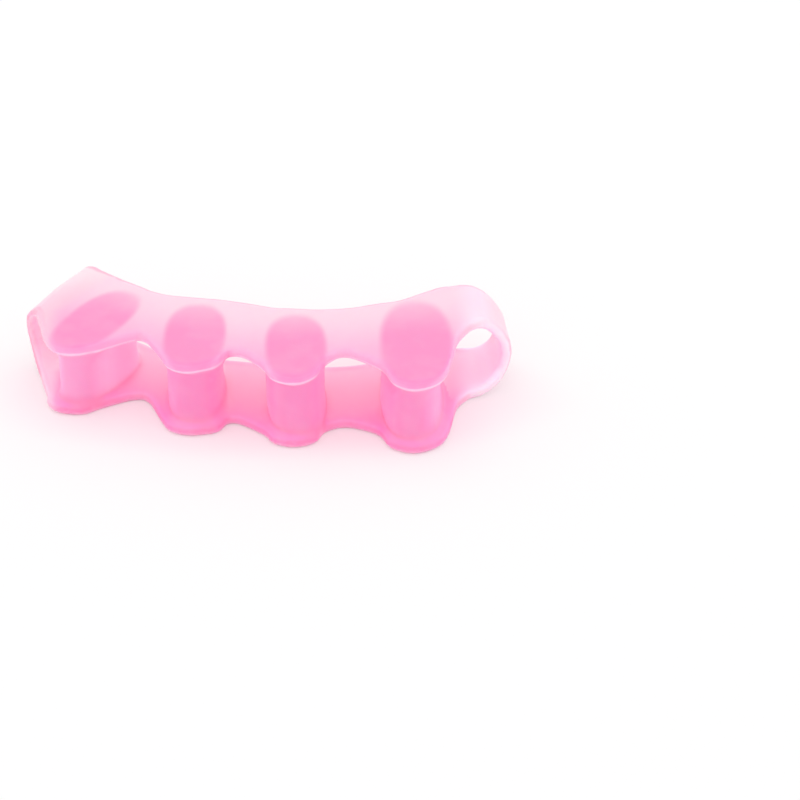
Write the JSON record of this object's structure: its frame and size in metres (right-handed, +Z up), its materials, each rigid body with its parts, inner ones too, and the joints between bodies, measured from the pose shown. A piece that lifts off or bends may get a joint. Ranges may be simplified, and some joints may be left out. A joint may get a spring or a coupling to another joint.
{
  "type": "toe separator",
  "caption": "Soft gel toe separator: two thin webs joined by waisted oval posts, with a rounded end loop at either side, worn between and around the toes.",
  "frame": {"origin": "under the centre of the bounding box, on the plane of the flat underside", "axes": "+X runs along the row of toes from the little toe's loop to the big toe's loop, +Y points back towards the foot and -Y towards the tips of the toes, +Z points up from the lower web to the upper web"},
  "size_m": [0.096, 0.051, 0.016],
  "materials": {
    "gel_pink": "translucent pink gel with a soft satin surface"
  },
  "bodies": {
    "root": {"separator_body": "gel_pink"}
  },
  "joints": []
}
